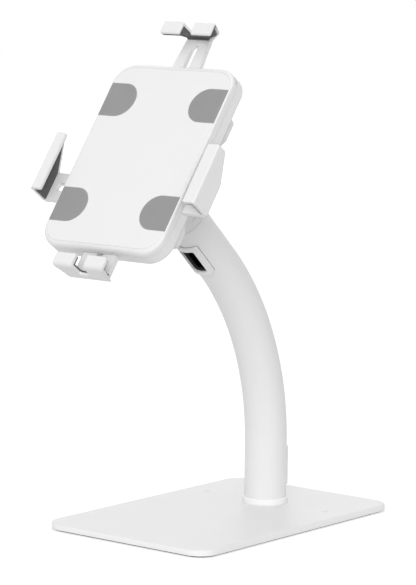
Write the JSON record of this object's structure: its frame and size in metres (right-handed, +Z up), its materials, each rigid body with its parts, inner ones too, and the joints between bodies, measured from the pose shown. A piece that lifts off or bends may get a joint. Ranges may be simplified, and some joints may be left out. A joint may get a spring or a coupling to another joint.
{
  "type": "anti-theft tablet desk stand",
  "caption": "Desk stand that locks a tablet between sliding hooks on a tilting, turning holder, on a curved tube column and a flat base plate.",
  "frame": {"origin": "middle of the base pad's underside, on the desk", "axes": "+Z up, +X to the right and -Y towards the person who uses the tablet"},
  "size_m": [0.2, 0.3643, 0.4891],
  "materials": {
    "white_steel": "satin powder coat",
    "white_plastic": "fine satin",
    "white_arm": "satin powder coat",
    "grey_rubber": "matt",
    "dark_rubber": "matt",
    "foam_pad": "matt",
    "steel": "zinc plated",
    "lock_chrome": "polished",
    "pinion_steel": "plain",
    "nylon": "natural"
  },
  "bodies": {
    "stand": {"base_plate": "white_steel", "base_pad": "foam_pad", "column_foot_plug": "steel", "column_bolt": "steel", "column_tube": "white_steel", "column_ring": "white_plastic", "lower_cable_grommet": "white_plastic", "upper_cable_grommet": "white_plastic", "column_end_fork": "white_steel", "fork_screws": "steel", "tilt_bolt": "steel", "tilt_nut": "steel", "tilt_washers": "nylon"},
    "tilt_link": {"tilt_knuckle": "white_steel", "swivel_washer": "nylon", "swivel_nut": "steel"},
    "holder": {"rear_cover": "white_plastic", "case_screws": "steel", "rear_shell": "white_plastic", "front_shell": "white_plastic", "face_pads": "grey_rubber", "lock_barrel": "lock_chrome", "lock_nut": "steel"},
    "left_hook": {"left_arm": "white_arm", "left_arm_pad": "dark_rubber"},
    "right_hook": {"right_arm": "white_arm", "right_arm_pad": "dark_rubber"},
    "top_hook": {"top_arm": "white_arm", "top_arm_pad": "dark_rubber"},
    "bottom_hook": {"bottom_arm": "white_arm", "bottom_arm_pad": "dark_rubber"},
    "pinion": {"drive_pinion": "pinion_steel"},
    "lock_core": {"lock_plug": "lock_chrome", "lock_cam": "steel"},
    "clamp": {"clamp_plate": "steel"}
  },
  "joints": [
    {"name": "head_tilt", "type": "hinge", "parent": "stand", "child": "tilt_link", "pos_m": [0, -0.08435, 0.32499], "axis": [1, 0, 0], "range_deg": [-54, 36]},
    {"name": "head_swivel", "type": "hinge", "parent": "tilt_link", "child": "holder", "pos_m": [0, -0.10458, 0.34784], "axis": [0, -0.809, 0.5878], "continuous": true},
    {"name": "right_slide", "type": "slide", "parent": "holder", "child": "right_hook", "axis": [1, 0, 0], "range_m": [-0.02, 0.025]},
    {"name": "left_slide", "type": "slide", "parent": "holder", "child": "left_hook", "axis": [-1, 0, 0], "range_m": [-0.02, 0.025]},
    {"name": "pinion_turn", "type": "hinge", "parent": "holder", "child": "pinion", "pos_m": [0, -0.14244, 0.33147], "axis": [0, -0.809, 0.5878], "range_deg": [-240, 300]},
    {"name": "top_slide", "type": "slide", "parent": "holder", "child": "top_hook", "axis": [0, 0.5878, 0.809], "range_m": [-0.025, 0.025]},
    {"name": "bottom_slide", "type": "slide", "parent": "holder", "child": "bottom_hook", "axis": [0, -0.5878, -0.809], "range_m": [-0.006, 0.02]},
    {"name": "lock_turn", "type": "hinge", "parent": "holder", "child": "lock_core", "pos_m": [0, -0.08438, 0.38755], "axis": [0, -0.809, 0.5878], "range_deg": [0, 90]},
    {"name": "clamp_slide", "type": "slide", "parent": "holder", "child": "clamp", "axis": [0, -0.809, 0.5878], "range_m": [0, 0.00095]}
  ],
  "couplings": [
    {"joint": "left_slide", "follows": "right_slide", "ratio": 1},
    {"joint": "pinion_turn", "follows": "right_slide", "rad_per_m": 208.33},
    {"joint": "lock_turn", "follows": "clamp_slide", "rad_per_m": 1653.3}
  ]
}
